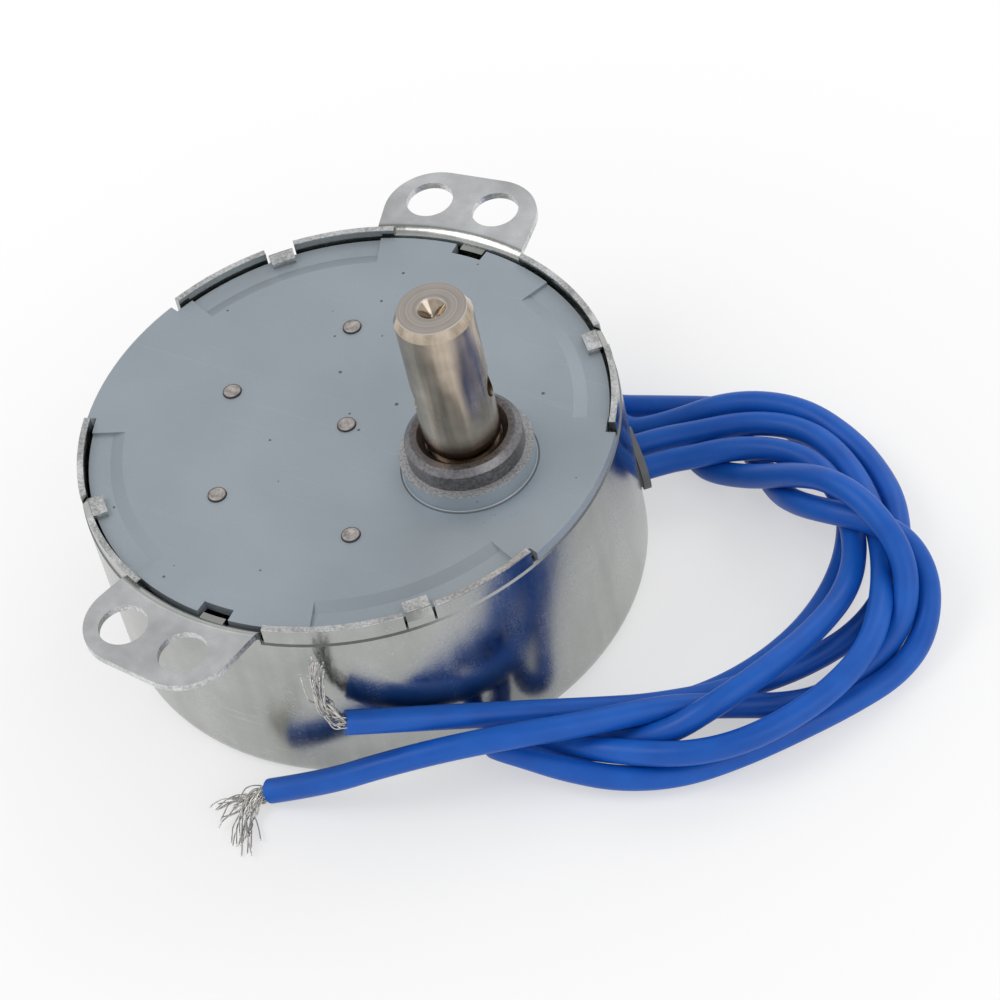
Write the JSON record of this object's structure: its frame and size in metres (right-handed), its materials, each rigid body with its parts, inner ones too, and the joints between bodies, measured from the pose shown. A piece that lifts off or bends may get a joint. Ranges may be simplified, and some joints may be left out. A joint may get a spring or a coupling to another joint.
{
  "type": "synchronous gear motor",
  "caption": "Flat round synchronous gear motor: drawn steel can with mounting ears, crimped cover plate, offset output shaft with a cross hole and blue leads folded in a hank.",
  "frame": {"origin": "middle of the can's underside, on the axis of the can", "axes": "+Z along the output shaft, away from the can; +X towards the offset shaft; the two mounting ears lie on the Y axis"},
  "size_m": [0.0786, 0.067, 0.0393],
  "materials": {
    "zinc_steel": "drawn tin-bright sheet, satin",
    "cover_steel": "matte rolled sheet with fine specks",
    "shaft_steel": "turned, fine rings",
    "pin_steel": "ground, bright end",
    "sintered_iron": "oily sintered iron",
    "soft_iron": "stamped soft iron",
    "gear_brass": "stamped brass",
    "gear_plastic": "moulded acetal, off-white",
    "ferrite": "pressed ferrite, dark grey",
    "bobbin_plastic": "moulded nylon",
    "copper": "enamelled copper wire, coil seen as one ring",
    "tape": "polyester film",
    "washer_nylon": "nylon",
    "grommet": "black moulded plastic",
    "wire_blue": "satin blue insulation",
    "tinned": "fine tinned copper strands"
  },
  "bodies": {
    "housing": {"housing_can": "zinc_steel", "cover_plate": "cover_steel", "output_bush": "sintered_iron", "rotor_pin": "pin_steel", "gear_pin_1": "pin_steel", "gear_pin_2": "pin_steel", "gear_pin_3": "pin_steel", "gear_pin_4": "pin_steel", "gear_plate": "soft_iron", "lower_pole_plate": "soft_iron", "upper_pole_plate": "soft_iron", "coil_bobbin": "bobbin_plastic", "coil_winding": "copper", "coil_tape": "tape", "rotor_washer": "washer_nylon", "lead_grommet": "grommet", "lead_wire_1": "wire_blue", "lead_wire_2": "wire_blue", "lead_strands_1": "tinned", "lead_strands_2": "tinned"},
    "rotor": {"rotor_magnet": "ferrite", "rotor_hub": "gear_plastic"},
    "first_gear": {"first_gear": "gear_plastic"},
    "second_gear": {"second_gear": "gear_plastic"},
    "third_gear": {"third_gear_wheel": "gear_brass", "third_gear_pinion": "pin_steel"},
    "fourth_gear": {"fourth_gear_wheel": "gear_brass", "fourth_gear_pinion": "pin_steel"},
    "output": {"output_shaft": "shaft_steel", "output_gear": "gear_brass", "thrust_washer": "washer_nylon"}
  },
  "joints": [
    {"name": "rotor_spin", "type": "hinge", "parent": "housing", "child": "rotor", "pos_m": [0, 0, 0], "axis": [0, 0, 1], "continuous": true},
    {"name": "first_gear_spin", "type": "hinge", "parent": "housing", "child": "first_gear", "pos_m": [-0.00572, 0.01099, 0], "axis": [0, 0, 1], "continuous": true},
    {"name": "second_gear_spin", "type": "hinge", "parent": "housing", "child": "second_gear", "pos_m": [-0.01234, 0, 0], "axis": [0, 0, 1], "continuous": true},
    {"name": "third_gear_spin", "type": "hinge", "parent": "housing", "child": "third_gear", "pos_m": [-0.007, -0.01156, 0], "axis": [0, 0, 1], "continuous": true},
    {"name": "fourth_gear_spin", "type": "hinge", "parent": "housing", "child": "fourth_gear", "pos_m": [0.00705, -0.0115, 0], "axis": [0, 0, 1], "continuous": true},
    {"name": "output_spin", "type": "hinge", "parent": "housing", "child": "output", "pos_m": [0.0129, 0, 0], "axis": [0, 0, 1], "continuous": true}
  ],
  "couplings": [
    {"joint": "first_gear_spin", "follows": "rotor_spin", "ratio": -0.4},
    {"joint": "second_gear_spin", "follows": "rotor_spin", "ratio": 0.16},
    {"joint": "third_gear_spin", "follows": "rotor_spin", "ratio": -0.08},
    {"joint": "fourth_gear_spin", "follows": "rotor_spin", "ratio": 0.04},
    {"joint": "output_spin", "follows": "rotor_spin", "ratio": -0.02}
  ]
}
